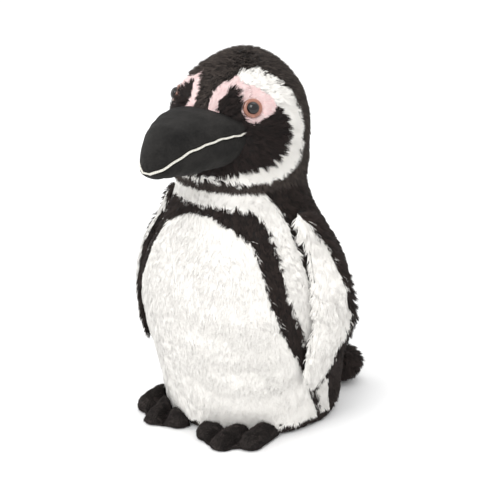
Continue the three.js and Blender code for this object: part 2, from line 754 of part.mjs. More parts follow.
function addFeet() {
  const low = SOLE_THICKNESS + GAP;
  const sole = footRings([[0, 0.8], [0.5, 0], [SOLE_THICKNESS, 0]]);
  const upper = footRings([[low, 0], [5, 0], [9, 1], [12.5, 3.2], [FOOT_HEIGHT, 6]]);
  const hollow = footRings([[low - 1, FOOT_CLOTH], [8.5, FOOT_CLOTH + 1], [11.2, FOOT_CLOTH + 2.8]]);
  const inset = FOOT_CLOTH + GAP;
  const fill = footRings([[low, inset], [8.2, inset + 1], [10.9, inset + 2.8]]);
  addFootPair("foot_SIDE_upper", upper, [hollow], velour());
  addFootPair("foot_SIDE_sole", sole, [], velour());
  addFootPair("foot_SIDE_fill", fill, [], stuffing());
}

function addTail() {
  const trunk = form(-5, 60, -TAIL_CLEARANCE, HEAD_COLUMNS, 5);
  add("tail_cover", cut(tailForm(0, TAIL_START), [], [trunk, tailForm(SKIN, TAIL_START)]), blackPlush());
  add("tail_fill", cut(tailForm(SKIN + GAP, TAIL_START), [], [trunk]), stuffing());
}

addTrunk();
addHead();
addBeak();
addEyes();
addFlippers();
addFeet();
addTail();

export default toy;
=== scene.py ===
import math
from dataclasses import dataclass

import bpy
import numpy as np
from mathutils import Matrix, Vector, kdtree


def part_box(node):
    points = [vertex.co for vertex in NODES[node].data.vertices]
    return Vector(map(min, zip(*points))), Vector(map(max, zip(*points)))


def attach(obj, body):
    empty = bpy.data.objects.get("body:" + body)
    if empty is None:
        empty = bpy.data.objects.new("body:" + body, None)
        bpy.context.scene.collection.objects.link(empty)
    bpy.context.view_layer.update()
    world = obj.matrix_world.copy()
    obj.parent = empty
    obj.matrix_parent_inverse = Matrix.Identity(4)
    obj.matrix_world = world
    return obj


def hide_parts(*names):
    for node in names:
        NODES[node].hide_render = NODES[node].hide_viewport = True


MM = 0.001
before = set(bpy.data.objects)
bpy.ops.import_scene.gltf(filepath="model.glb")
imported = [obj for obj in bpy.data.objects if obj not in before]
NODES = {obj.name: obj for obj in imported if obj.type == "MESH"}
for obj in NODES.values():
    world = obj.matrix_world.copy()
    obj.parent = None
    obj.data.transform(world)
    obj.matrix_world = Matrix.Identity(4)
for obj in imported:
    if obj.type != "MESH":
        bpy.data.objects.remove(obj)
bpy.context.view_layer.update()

# ---- Driving dimensions -------------------------------------------------------------------------

AXIS_LOW = np.array([0, -4, 30]) * MM  # the middle line of trunk and head, which the plush faces away from
AXIS_HIGH = np.array([0, -14, 236]) * MM
CLOTH_DEPTH = 1.9 * MM  # of the cloth under the tips of the pile
ROOT_DEPTH = 2.4 * MM  # where the strands start
NAP_ROOT_DEPTH = 0.3 * MM  # where the strands of the velour's nap start
LUMP = 0.7 * MM  # unevenness of the stuffing
FLOOR_CLEARANCE = 0.4 * MM  # of the lowest strands
BASE_RIM = 7.5 * MM  # height of the black rim that the white pile stays above
UNDERGROUND = -1  # no limit to how far down a pile hangs
MOST_FACES = 190000  # triangles in one piece of pile
EDGE_REACH = 4 * MM  # how far from a seam the pile leans over its neighbour
SHORTEST = 0.25  # share of its length that a strand keeps at the lowest place
HEM_LIFT = 0.35  # how much more the lowest strands stand off, so that they hang outside the base's rim
HEM_REACH = 6 * MM
NARROW_BELOW = 55 * MM  # below this the stripes are narrow and the pile hardly leans over them

# Flippers, in millimetres: height, middle and half width along Y, and how far back the white reaches, from
# -1 at the front edge to 1 at the rear one.
FLIPPER_ROWS = np.array([
    (45, -26, 4.3, 0.7),
    (50, -24, 9.9, 0.6),
    (60, -22, 14.2, 0.45),
    (75, -20.5, 15.5, 0.4),
    (98, -17, 15, 0.4),
    (125, -16.5, 12.7, 0.4),
    (150, -14, 9.4, 0.3),
    (166, -17, 8.9, -0.35),
    (172.5, -18, 3.9, -1),
])
FRONT_LAP = {"left": -2, "right": -0.8}  # black pile lies over the white face's front edge up to here
BARE_EDGE = {"left": -0.7, "right": -2}  # no pile on the black face further forward than this
HEAD_AXIS_Y = -15 * MM
BROW_TOP = 266 * MM  # above this the crown's black pile lies over the right brow
# Beak, in millimetres: ahead of the head's axis, half width, top, mouth line and underside heights.
BEAK_STATIONS = [
    (28, 33, 248.5, 234.5, 206),
    (42, 33.5, 250, 234.5, 205.5),
    (56, 31, 249.5, 234.5, 206),
    (70, 26.5, 247.5, 233, 206.5),
    (84, 20.5, 243, 228.5, 208),
    (95, 14.5, 237, 222.5, 209.5),
    (102, 9.5, 231, 218.5, 211.5),
    (106, 4, 224.5, 215.5, 213.5),
]
PIPING = 1.0 * MM  # half the height of the pale line in the mouth

# Rows of stitches that part the toes of the left foot, in millimetres: front end and rear end, x and y.
TOE_STITCHES = [((20, -90), (29, -42)), ((37.5, -90), (43.5, -42))]
RIGHT_FOOT_SHIFT = (-5, 3.4)  # of the right foot from the left one mirrored, in millimetres
STITCH_DEPTH = 6 * MM  # how far the stitches draw the top of the foot down
STITCH_WIDTH = 3 * MM
# Web between the toes of the left foot, in millimetres: corners x and y, and its height.
WEB = [(7, -74), (12, -80), (22, -84), (36, -83), (49, -70), (52, -36), (12, -34)]
WEB_HEIGHT = 6
# How the stuffing thins towards the tips of the toes: y in millimetres, share of the height that is left.
TOE_SLOPE = [(-90, 0.5), (-76, 0.72), (-52, 1)]
FOOT_VOXEL = 1.3 * MM  # mesh size of the velour
SOLE = 0.5  # height of the web's underside
FOOT_PRESSURE = 4
MOST_SWELL = 3 * MM  # how far the pressure may push the velour out
FOOT_ROOT_Y = -36 * MM  # the foot is sewn fast behind this
FOOT_SOLE_FAST = 1.5 * MM  # and below this
STITCH_FADE = 8 * MM  # the stitches draw down fully from this height up
SEAM_HEIGHT = 2.4 * MM  # of the seam round the sole
SEAM_WIDTH = 0.7 * MM
SEAM_SHARE = 0.02  # how far the seam draws in, as a share of the way to the foot's middle
SIMULATED_FRAMES = 20


# ---- Vectors ------------------------------------------------------------------------------------


def unit(v):
    return v / np.maximum(np.linalg.norm(v, axis=-1, keepdims=True), 1e-12)


def tangent(v, normals):
    return v - (v * normals).sum(axis=-1, keepdims=True) * normals


def nearest(points, targets):
    """For each point, the index of the nearest target and its distance."""
    tree = kdtree.KDTree(len(targets))
    for i, target in enumerate(targets):
        tree.insert(target, i)
    tree.balance()
    found = [tree.find(p)[1:] for p in points]
    return np.array([i for i, _ in found]), np.array([d for _, d in found])


def lumps(points):
    """A slow unevenness of the surface, in metres out of it."""
    x, y, z = (points / MM).T
    wave = np.sin(0.11 * x + 0.07 * z + 1.3) + np.sin(0.13 * y - 0.09 * z + 0.4)
    wave = wave + np.sin(0.21 * z + 0.12 * x - 0.17 * y)
    return (LUMP / 2) * wave


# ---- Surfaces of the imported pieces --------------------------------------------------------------


@dataclass
class Surface:
    points: np.ndarray
    triangles: np.ndarray
    normals: np.ndarray
    rim: np.ndarray  # middles of the edges where the surface ends
    rim_out: np.ndarray  # directions across those edges


def node_mesh(node):
    """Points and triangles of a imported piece, with each corner stored once."""
    mesh = NODES[node].data
    mesh.calc_loop_triangles()
    points = np.empty(len(mesh.vertices) * 3)
    mesh.vertices.foreach_get("co", points)
    triangles = np.empty(len(mesh.loop_triangles) * 3, int)
    mesh.loop_triangles.foreach_get("vertices", triangles)
    points = points.reshape(-1, 3)
    rounded = np.round(points / (0.01 * MM))
    _, first, merged = np.unique(rounded, axis=0, return_index=True, return_inverse=True)
    return points[first], merged.reshape(-1)[triangles].reshape(-1, 3)


def from_axis(centres):
    """Directions away from the middle line of trunk and head."""
    line = AXIS_HIGH - AXIS_LOW
    share = np.clip(((centres - AXIS_LOW) @ line) / (line @ line), 0, 1)
    return unit(centres - AXIS_LOW - share[:, None] * line)


def outer_surface(node, facing, least=0.4):
    """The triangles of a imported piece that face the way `facing` says."""
    points, triangles = node_mesh(node)
    a, b, c = (points[triangles[:, k]] for k in range(3))
    across = np.cross(b - a, c - a)
    faces_out = (unit(across) * facing((a + b + c) / 3)).sum(axis=1) > least
    triangles, across = triangles[faces_out], across[faces_out]
    normals = np.zeros_like(points)
    for k in range(3):
        np.add.at(normals, triangles[:, k], across)
    owners = {}
    for t, triangle in enumerate(triangles):
        for k in range(3):
            edge = tuple(sorted((triangle[k], triangle[(k + 1) % 3])))
            owners.setdefault(edge, []).append((t, triangle[(k + 2) % 3]))
    ends = [(edge, found[0]) for edge, found in owners.items() if len(found) == 1]
    start = points[[edge[0] for edge, _ in ends]]
    along = unit(points[[edge[1] for edge, _ in ends]] - start)
    away = start - points[[third for _, (_, third) in ends]]
    out = unit(away - (away * along).sum(axis=1, keepdims=True) * along)
    middles = (start + points[[edge[1] for edge, _ in ends]]) / 2
    return Surface(points, triangles, unit(normals), middles, out)


def scatter(surface, spacing, rng):
    """Evenly spread points on a surface, rounded between its facets, and their normals."""
    a, b, c = (surface.points[surface.triangles[:, k]] for k in range(3))
    ends = np.cumsum(np.linalg.norm(np.cross(b - a, c - a), axis=1) / 2)
    count = max(int(ends[-1] / spacing**2), 1)
    places = (np.arange(count) + rng.random(count)) / count * ends[-1]
    picks = surface.triangles[np.minimum(np.searchsorted(ends, places), len(ends) - 1)]
    u, v = rng.random((2, count))
    over = u + v > 1
    u[over], v[over] = 1 - u[over], 1 - v[over]
    share = np.stack([1 - u - v, u, v], axis=1)[:, :, None]
    corners, corner_normals = surface.points[picks], surface.normals[picks]
    flat = (share * corners).sum(axis=1)
    off = ((flat[:, None, :] - corners) * corner_normals).sum(axis=2, keepdims=True)
    curved = (share * (flat[:, None, :] - off * corner_normals)).sum(axis=1)
    return (flat + 3 * curved) / 4, unit((share * corner_normals).sum(axis=1))


# ---- Materials ----------------------------------------------------------------------------------


def principled(name, colour, roughness, sheen=0.0, sheen_colour=(1, 1, 1), coat=0.0, specular=0.5):
    material = bpy.data.materials.new(name)
    material.use_nodes = True
    shader = material.node_tree.nodes["Principled BSDF"]
    shader.inputs["Base Color"].default_value = (*colour, 1)
    shader.inputs["Roughness"].default_value = roughness
    shader.inputs["Specular IOR Level"].default_value = specular
    shader.inputs["Sheen Weight"].default_value = sheen
    shader.inputs["Sheen Roughness"].default_value = 0.4
    shader.inputs["Sheen Tint"].default_value = (*sheen_colour, 1)
    shader.inputs["Coat Weight"].default_value = coat
    shader.inputs["Coat Roughness"].default_value = 0.05
    return material, shader


def add_node(material, kind, inputs=None, **settings):
    node = material.node_tree.nodes.new(kind)
    for key, value in settings.items():
        setattr(node, key, value)
    for key, value in (inputs or {}).items():
        node.inputs[key].default_value = value
    return node


def link(material, source, output, target, entry):
    material.node_tree.links.new(source.outputs[output], target.inputs[entry])


def ramp_between(material, source, output, low, high, dark, light):
    """Two colours, mixed by a texture between two of its values."""
    ramp = add_node(material, "ShaderNodeValToRGB")
    ramp.color_ramp.elements[0].position = low
    ramp.color_ramp.elements[0].color = (*dark, 1)
    ramp.color_ramp.elements[1].position = high
    ramp.color_ramp.elements[1].color = (*light, 1)
    link(material, source, output, ramp, "Fac")
    return ramp


def bumped(material, shader, source, output, distance, strength):
    bump = add_node(material, "ShaderNodeBump", {"Strength": strength, "Distance": distance})
    link(material, source, output, bump, "Height")
    link(material, bump, "Normal", shader, "Normal")


def place(material, scale=(1, 1, 1)):
    coordinates = add_node(material, "ShaderNodeTexCoord")
    mapping = add_node(material, "ShaderNodeMapping")
    mapping.inputs["Scale"].default_value = scale
    link(material, coordinates, "Object", mapping, "Vector")
    return mapping


def backing(name, dark, light):
    """Knitted backing cloth under the pile: small loops in rows, with uneven dye."""
    material, shader = principled(name, light, 0.9, sheen=0.2, sheen_colour=light)
    at = place(material)
    tone = add_node(material, "ShaderNodeTexNoise", {"Scale": 180, "Detail": 4})
    link(material, at, "Vector", tone, "Vector")
    colour = ramp_between(material, tone, "Fac", 0.35, 0.65, dark, light)
    link(material, colour, "Color", shader, "Base Color")
    loops = add_node(material, "ShaderNodeTexVoronoi", {"Scale": 900})
    link(material, at, "Vector", loops, "Vector")
    bumped(material, shader, loops, "Distance", 0.0004, 0.5)
    return material


def velour(name, dark, light, sheen, sheen_colour):
    """Short dense nap: fine speckle of its grain, and broad patches of painted sheen, lighter and darker
    where the nap is brushed the other way.
    """
    material, shader = principled(name, light, 0.85, sheen=sheen, sheen_colour=sheen_colour, specular=0.2)
    at = place(material)
    # painted sheen: the broad patches lighten and darken the nap's colour; the speckle is its own grain
    patches = add_node(material, "ShaderNodeTexNoise", {"Scale": 55, "Detail": 3, "Roughness": 0.6})
    speckle = add_node(material, "ShaderNodeTexNoise", {"Scale": 1500, "Detail": 3, "Roughness": 0.7})
    both = add_node(material, "ShaderNodeMix", {"Factor": 0.55}, data_type="FLOAT")
    link(material, at, "Vector", patches, "Vector")
    link(material, at, "Vector", speckle, "Vector")
    material.node_tree.links.new(patches.outputs["Fac"], both.inputs[2])
    material.node_tree.links.new(speckle.outputs["Fac"], both.inputs[3])
    colour = ramp_between(material, both, 0, 0.38, 0.64, dark, light)
    link(material, colour, "Color", shader, "Base Color")
    bumped(material, shader, speckle, "Fac", 0.0005, 0.6)
    return material


def woven(name, dark, light, scale):
    """Plain weave: threads over and under each other."""
    material, shader = principled(name, light, 0.85, sheen=0.2)
    at = place(material)
    warp = add_node(material, "ShaderNodeTexWave", {"Scale": scale, "Distortion": 0.6}, bands_direction="X")
    weft = add_node(material, "ShaderNodeTexWave", {"Scale": scale, "Distortion": 0.6}, bands_direction="Z")
    threads = add_node(material, "ShaderNodeMath", operation="MULTIPLY")
    link(material, at, "Vector", warp, "Vector")
    link(material, at, "Vector", weft, "Vector")
    material.node_tree.links.new(warp.outputs["Fac"], threads.inputs[0])
    material.node_tree.links.new(weft.outputs["Fac"], threads.inputs[1])
    colour = ramp_between(material, threads, 0, 0.0, 0.6, dark, light)
    link(material, colour, "Color", shader, "Base Color")
    bumped(material, shader, threads, 0, 0.0003, 0.6)
    return material


def fibre(name, dark, light):
    """Loose fibre stuffing."""
    material, shader = principled(name, light, 1.0)
    at = place(material, (1, 1, 0.35))
    strands = add_node(material, "ShaderNodeTexNoise", {"Scale": 400, "Detail": 6, "Distortion": 2})
    link(material, at, "Vector", strands, "Vector")
    colour = ramp_between(material, strands, "Fac", 0.4, 0.6, dark, light)
    link(material, colour, "Color", shader, "Base Color")
    bumped(material, shader, strands, "Fac", 0.002, 0.8)
    return material


def plastic(name, dark, light, roughness, coat):
    """Moulded plastic with a faint unevenness in its dye."""
    material, shader = principled(name, light, roughness, coat=coat)
    at = place(material)
    cloud = add_node(material, "ShaderNodeTexNoise", {"Scale": 300, "Detail": 2})
    link(material, at, "Vector", cloud, "Vector")
    colour = ramp_between(material, cloud, "Fac", 0.3, 0.7, dark, light)
    link(material, colour, "Color", shader, "Base Color")
    return material


def shades(name, darkest, lightest, count, sheen, sheen_colour):
    """Strand materials from the darkest to the lightest."""
    made = []
    for k in range(count):
        share = k / (count - 1)
        colour = [a + (b - a) * share for a, b in zip(darkest, lightest)]
        strand = principled(f"{name}_{k}", colour, 0.75, sheen=sheen, sheen_colour=sheen_colour, specular=0.3)
        made.append(strand[0])
    return made


BLACK_SHADES = shades("black_strands", (0.0020, 0.0014, 0.0012), (0.042, 0.029, 0.025), 6, 0.0, (1, 1, 1))
# painted light: the crown's strands are a lighter copy of the black pile's colours, its top painted as if lit
# from above
LIT_CROWN_SHADES = shades("crown_strands_painted_light", (0.004, 0.003, 0.0026), (0.085, 0.067, 0.058), 6, 0.0, (1, 1, 1))
# painted shade: the cheeks' strands are a darker copy of the black pile's colours
SHADED_CHEEK_SHADES = shades("cheek_strands_painted_shade", (0.0016, 0.0011, 0.0010), (0.028, 0.018, 0.016), 6, 0.0, (1, 1, 1))
WHITE_SHADES = shades("white_strands", (0.905, 0.88, 0.835), (0.945, 0.925, 0.885), 4, 0.1, (1, 1, 1))
PINK_SHADES = shades("pink_strands", (0.94, 0.66, 0.65), (0.985, 0.80, 0.785), 4, 0.1, (1, 0.9, 0.9))
VELOUR_SHADES = shades("velour_strands", (0.0018, 0.0014, 0.0013), (0.060, 0.047, 0.043), 6, 0.0, (1, 1, 1))
BLACK_BACKING = backing("black_backing", (0.006, 0.0045, 0.004), (0.014, 0.011, 0.010))
WHITE_BACKING = backing("white_backing", (0.86, 0.84, 0.80), (0.92, 0.905, 0.87))
PINK_BACKING = backing("pink_backing", (0.88, 0.60, 0.59), (0.94, 0.70, 0.69))


# ---- Meshes -------------------------------------------------------------------------------------


def mesh_object(name, points, faces, materials, smooth=True):
    mesh = bpy.data.meshes.new(name)
    mesh.from_pydata([tuple(p) for p in points], [], [tuple(f) for f in faces])
    mesh.update()
    for material in materials:
        mesh.materials.append(material)
    mesh.polygons.foreach_set("use_smooth", [smooth] * len(mesh.polygons))
    made = bpy.data.objects.new(name, mesh)
    bpy.context.scene.collection.objects.link(made)
    return made


def on_body(piece, body, replaced=()):
    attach(piece, body)
    if replaced:
        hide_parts(*replaced)
    return piece


def skin(name, node, body, surface, material, dark=None):
    """The cloth of a panel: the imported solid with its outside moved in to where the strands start.

    `dark` says which places of a white panel lie under black pile.
    """
    points, triangles = node_mesh(node)
    outside = np.zeros(len(points), bool)
    outside[np.unique(surface.triangles)] = True
    sunk = points.copy()
    sunk[outside] += surface.normals[outside] * (lumps(points[outside])[:, None] * 0.5 - CLOTH_DEPTH)
    piece = mesh_object(name, sunk, triangles, [material, BLACK_BACKING] if dark else [material])
    if dark:
        slots = dark(points[triangles].mean(axis=1)).astype(np.int32)
        piece.data.polygons.foreach_set("material_index", slots)
    return on_body(piece, body, [node])


# ---- Pile ---------------------------------------------------------------------------------------


@dataclass
class Pile:
    length: float
    radius: float
    spacing: float
    lift: float  # 0 lies flat, 1 stands straight out
    clump: float  # distance between clumps
    pull: float  # how far the tips of a clump gather
    overhang: float  # how strongly the strands at a seam lean over it
    trim: float  # how much shorter the strands at a seam are
    stray: float  # how unevenly the clumps are combed
    round: float  # how much of a strand's own roundness its shading shows
    bent: bool  # long strands bend, short ones are straight
    shades: list
    on_sunk_cloth: bool = True  # whether the cloth under it was moved in


def comb_down(points, normals):
    return unit(tangent(np.tile([0.0, 0.0, -1.0], (len(points), 1)), normals))


def strand_path(roots, normals, lean, length, lift):
    """Middle and tip of each strand, which leaves the cloth at a slant and bends over."""
    first = unit(normals * lift + lean * (1 - lift))
    bend = lean * 0.35 - normals * 0.12
    reach = length[:, None]
    return roots + reach * (0.55 * first + 0.15 * bend), roots + reach * (0.95 * first + 0.5 * bend)


STRAIGHT = [(2, 1, 0), (0, 1, 3), (1, 2, 3), (2, 0, 3)]
BENT = [
    (2, 1, 0), (0, 1, 4), (0, 4, 3), (1, 2, 5), (1, 5, 4),
    (2, 0, 3), (2, 3, 5), (3, 4, 6), (4, 5, 6), (5, 3, 6),
]


def strand_mesh(name, strands, pile):
    """One closed tapering strand with three sides for each root, straight or bent."""
    roots, middles, tips, normals, radius, shade, twist = strands
    count = len(roots)
    pattern = np.array(BENT if pile.bent else STRAIGHT)
    each = pattern.max() + 1
    along = unit(middles - roots)
    side = unit(np.cross(along, twist))
    other = np.cross(along, side)
    points = np.empty((count, each, 3))
    facing = np.empty((count, each, 3))
    for k in range(3):
        turn = 2 * math.pi * k / 3
        out = math.cos(turn) * side + math.sin(turn) * other
        points[:, k] = roots + out * radius[:, None]
        facing[:, k] = out
        if pile.bent:
            points[:, 3 + k] = middles + out * radius[:, None] * 0.75
            facing[:, 3 + k] = out
    points[:, -1] = tips
    points[:, :, 2] = np.maximum(points[:, :, 2], FLOOR_CLEARANCE)
    facing[:, -1] = normals
    facing = unit(facing * pile.round + normals[:, None, :])
    faces = (pattern[None] + each * np.arange(count)[:, None, None]).reshape(-1)
    # painted shade: the faces that meet a strand's tip take the next lighter shade, so every strand is
    # painted darker at its root, deep in the pile
    upper = pattern.max(axis=1) == each - 1
    slots = (shade[:, None] + upper[None]).reshape(-1)
    mesh = bpy.data.meshes.new(name)
    mesh.vertices.add(count * each)
    mesh.vertices.foreach_set("co", points.reshape(-1))
    mesh.loops.add(len(faces))
    mesh.loops.foreach_set("vertex_index", faces.astype(np.int32))
    mesh.polygons.add(len(slots))
    mesh.polygons.foreach_set("loop_start", np.arange(0, len(faces), 3, dtype=np.int32))
    mesh.polygons.foreach_set("material_index", slots.astype(np.int32))
    mesh.polygons.foreach_set("use_smooth", np.ones(len(slots), bool))
    mesh.update(calc_edges=True)
    mesh.normals_split_custom_set_from_vertices(facing.reshape(-1, 3))
    for material in pile.shades:
        mesh.materials.append(material)
    made = bpy.data.objects.new(name, mesh)
    bpy.context.scene.collection.objects.link(made)
    return made


def everywhere(points, directions=None):
    return np.ones(len(points), bool)


def hem_lift(points, pile, lowest):
    """How far the strands stand off, each from 0, flat, to 1, straight out."""
    near = np.exp(-np.maximum(points[:, 2] - lowest, 0) / HEM_REACH)
    return (pile.lift + HEM_LIFT * near)[:, None]


def sunk(points, normals, pile):
    """Where strands start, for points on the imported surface."""
    if not pile.on_sunk_cloth:
        return points - normals * NAP_ROOT_DEPTH
    return points + normals * (lumps(points) - ROOT_DEPTH)[:, None]


def grow(name, body, surface, pile, comb, slot, seed, keep=everywhere, leans=everywhere, lowest=UNDERGROUND):
    """Strands of pile over a surface, gathered in clumps. `keep` says which roots get a strand, `leans` how
    strongly the pile leans over the edges that face a direction, and `lowest` how far down it hangs."""
    rng = np.random.default_rng(seed)
    roots, normals = scatter(surface, pile.spacing, rng)
    kept = keep(roots)
    if not kept.any():
        return
    roots, normals = roots[kept], normals[kept]
    centres, centre_normals = scatter(surface, pile.clump, rng)
    edge, gap = nearest(centres, surface.rim)
    over = pile.overhang * np.exp(-gap / EDGE_REACH) * leans(surface.rim, surface.rim_out)[edge]
    lean = comb(centres, centre_normals) + pile.stray * rng.normal(size=centres.shape)
    lean = unit(tangent(lean + over[:, None] * surface.rim_out[edge], centre_normals))
    clump_length = pile.length * (0.85 + 0.3 * rng.random(len(centres)))
    clump_length *= 1 - pile.trim * np.exp(-gap / EDGE_REACH)
    room = np.maximum(centres[:, 2] - lowest, 0) / 0.9 * (0.7 + 0.5 * rng.random(len(centres)))
    clump_length = np.clip(room, clump_length * SHORTEST, clump_length)
    owner, _ = nearest(roots, centres)
    own_lean = unit(tangent(lean[owner] + 0.3 * rng.normal(size=roots.shape), normals))
    length = clump_length[owner] * (0.8 + 0.35 * rng.random(len(roots)))
    roots, centres = sunk(roots, normals, pile), sunk(centres, centre_normals, pile)
    middles, tips = strand_path(roots, normals, own_lean, length, hem_lift(roots, pile, lowest))
    centre_lift = hem_lift(centres, pile, lowest)
    clump_middles, clump_tips = strand_path(centres, centre_normals, lean, clump_length, centre_lift)
    middles += (clump_middles[owner] - middles) * pile.pull * 0.4
    tips += (clump_tips[owner] - tips) * pile.pull
    steps = len(pile.shades) - 1
    tone = rng.random(len(centres))[owner] * 0.5 + rng.random(len(roots)) * 0.5
    shade = np.minimum((tone * steps).astype(int), steps - 1)
    radius = pile.radius * (0.7 + 0.6 * rng.random(len(roots)))
    twist = rng.normal(size=roots.shape)
    strands = (roots, middles, tips, normals, radius, shade, twist)
    parts = math.ceil(len(roots) * len(BENT if pile.bent else STRAIGHT) / MOST_FACES)
    for k in range(parts):
        share = tuple(values[k::parts] for values in strands)
        part = strand_mesh(f"{name}_{k}" if parts > 1 else name, share, pile)
        on_body(part, body)


BELLY_PILE = Pile(
    9.5 * MM, 0.42 * MM, 0.78 * MM, 0.2, 4 * MM, 0.16, 0.35, 0.3, 0.12, 0.05, True, WHITE_SHADES
)
BAND_PILE = Pile(
    7.5 * MM, 0.38 * MM, 0.76 * MM, 0.3, 3.5 * MM, 0.45, 0.5, 0.3, 0.3, 0.15, True, WHITE_SHADES
)
FLIPPER_PILE = Pile(
    9.5 * MM, 0.38 * MM, 0.76 * MM, 0.24, 4 * MM, 0.45, 0.5, 0.3, 0.22, 0.15, True, WHITE_SHADES
)
BLACK_PILE = Pile(
    5 * MM, 0.3 * MM, 0.66 * MM, 0.52, 2.8 * MM, 0.45, 0.4, 0, 0.45, 1.2, False, BLACK_SHADES
)
CROWN_PILE = Pile(
    4.2 * MM, 0.27 * MM, 0.62 * MM, 0.52, 2.4 * MM, 0.4, 0.4, 0, 0.4, 1.2, False, LIT_CROWN_SHADES
)
CHEEK_PILE = Pile(
    6.3 * MM, 0.3 * MM, 0.66 * MM, 0.52, 2.8 * MM, 0.5, 0.5, 0, 0.5, 1.2, False, SHADED_CHEEK_SHADES
)
FRINGE_PILE = Pile(7 * MM, 0.33 * MM, 0.62 * MM, 0.5, 3 * MM, 0.5, 0.9, 0, 0.4, 1.2, False, BLACK_SHADES)
LAP_PILE = Pile(4 * MM, 0.3 * MM, 0.66 * MM, 0.4, 2.6 * MM, 0.4, 0.2, 0, 0.4, 1.2, False, BLACK_SHADES)
RIM_PILE = Pile(3.4 * MM, 0.33 * MM, 0.5 * MM, 0.45, 2.6 * MM, 0.4, 0, 0, 0.5, 1.2, False, BLACK_SHADES)
TAIL_PILE = Pile(
    5.5 * MM, 0.32 * MM, 0.68 * MM, 0.5, 2.8 * MM, 0.45, 0, 0, 0.45, 1.2, False, BLACK_SHADES
)
PINK_PILE = Pile(
    3.4 * MM, 0.3 * MM, 0.52 * MM, 0.5, 2.2 * MM, 0.3, 0, 0.35, 0.4, 0.15, False, PINK_SHADES
)
VELOUR_PILE = Pile(
    1.5 * MM, 0.22 * MM, 0.5 * MM, 0.6, 3 * MM, 0.1, 0, 0, 0.6, 1.2, False, VELOUR_SHADES, False
)


def plush(
    node, body, pile, cloth, slot, seed, facing=from_axis, least=0.4, comb=comb_down, dark=None, **growth
):
    surface = outer_surface(node, facing, least)
    skin(f"{node}_cloth", node, body, surface, cloth, dark)
    grow(f"{node}_pile", body, surface, pile, comb, slot, seed, **growth)


def not_down(points, directions):
    """The pile leans over every seam but the lowest ones and those of the narrow stripes."""
    return (directions[:, 2] > -0.7) * np.where(points[:, 2] < NARROW_BELOW, 0.1, 1)


def not_rearward(points, directions):
    """The white chest band leans over the black one, and hardly over the back."""
    return not_down(points, directions) * np.where(directions[:, 1] > 0.2, 0.15, 1)


def add_trunk():
    hem = {"lowest": BASE_RIM}
    plush("belly_panel", "trunk", BELLY_PILE, WHITE_BACKING, "white_plush", 1, leans=not_down, **hem)
    plush("chest_band_black", "trunk", BLACK_PILE, BLACK_BACKING, "black_plush", 2)
    plush("chest_band_white", "trunk", BAND_PILE, WHITE_BACKING, "white_plush", 3, leans=not_rearward, **hem)
    plush("back_panel_left", "trunk", BLACK_PILE, BLACK_BACKING, "black_plush", 4)
    plush("back_panel_right", "trunk", BLACK_PILE, BLACK_BACKING, "black_plush", 5)


def add_base():
    """The base cloth is flat below, and its turned-up rim carries short pile under the white hem."""
    rim = outer_surface("base_panel", lambda centres: unit(centres * [1, 1, 0]), 0.6)
    cloth = woven("base_cloth", (0.006, 0.005, 0.005), (0.03, 0.024, 0.022), 300)
    skin("base_panel_cloth", "base_panel", "trunk", rim, cloth)
    grow("base_rim_pile", "trunk", rim, RIM_PILE, comb_down, "black_plush", 6)


def comb_face(points, normals):
    """Pile on the head lies back from the beak and down."""
    root = np.array([0, -70, 236]) * MM
    return unit(tangent(unit(points - root) + [0, 0.3, -0.35], normals))


def not_forward(points, directions):
    """The pile of a brow leans back over its seams, and only a little towards the beak."""
    return np.clip(directions[:, 1] + 0.9, 0.25, 1)


def below_brow_top(points):
    return points[:, 2] < BROW_TOP


def above_brow_top(points):
    return points[:, 2] >= BROW_TOP


def add_head():
    plush("crown_panel", "head", CROWN_PILE, BLACK_BACKING, "black_plush", 11)
    brow = {"comb": comb_face, "leans": not_forward}
    plush("brow_band_left", "head", BAND_PILE, WHITE_BACKING, "white_plush", 12, **brow)
    brow |= {"dark": above_brow_top, "keep": below_brow_top}
    plush("brow_band_right", "head", BAND_PILE, WHITE_BACKING, "white_plush", 13, **brow)
    top = outer_surface("brow_band_right", from_axis)
    grow("brow_right_top_pile", "head", top, CROWN_PILE, comb_down, "black_plush", 18, keep=above_brow_top)
    for i, side in enumerate(("left", "right")):
        plush(f"eye_patch_{side}", "head", PINK_PILE, PINK_BACKING, "pink_plush", 14 + i, comb=comb_face)
        plush(f"cheek_panel_{side}", "head", CHEEK_PILE, BLACK_BACKING, "black_plush", 16 + i, comb=comb_face)


# ---- Beak ---------------------------------------------------------------------------------------


def through(stations, share):
    """A smooth curve through equally spaced stations, at a share of its length from 0 to 1."""
    rows = np.array(stations, float)
    at = np.clip(share, 0, 1) * (len(rows) - 1)
    k = min(int(at), len(rows) - 2)
    t = at - k
    p0 = rows[k - 1] if k > 0 else 2 * rows[0] - rows[1]
    p3 = rows[k + 2] if k + 2 < len(rows) else 2 * rows[-1] - rows[-2]
    p1, p2 = rows[k], rows[k + 1]
    square, cube = 2 * p0 - 5 * p1 + 4 * p2 - p3, 3 * p1 - p0 - 3 * p2 + p3
    return 0.5 * (2 * p1 + (p2 - p0) * t + square * t**2 + cube * t**3)


def loft(name, rings, materials):
    """A closed piece through rings of equal length, with a fan at each end."""
    n = len(rings[0])
    points = [p for ring in rings for p in ring]
    faces = []
    for i in range(len(rings) - 1):
        for j in range(n):
            a, b = i * n + j, i * n + (j + 1) % n
            faces.append((a, b, b + n, a + n))
    for ring, start, first in ((rings[0], 0, True), (rings[-1], (len(rings) - 1) * n, False)):
        points.append(np.mean(ring, axis=0))
        for j in range(n):
            edge = (start + (j + 1) % n, start + j) if first else (start + j, start + (j + 1) % n)
            faces.append((*edge, len(points) - 1))
    return mesh_object(name, points, faces, materials)


BEAK_STEPS = 44
BEAK_SIDES = 40


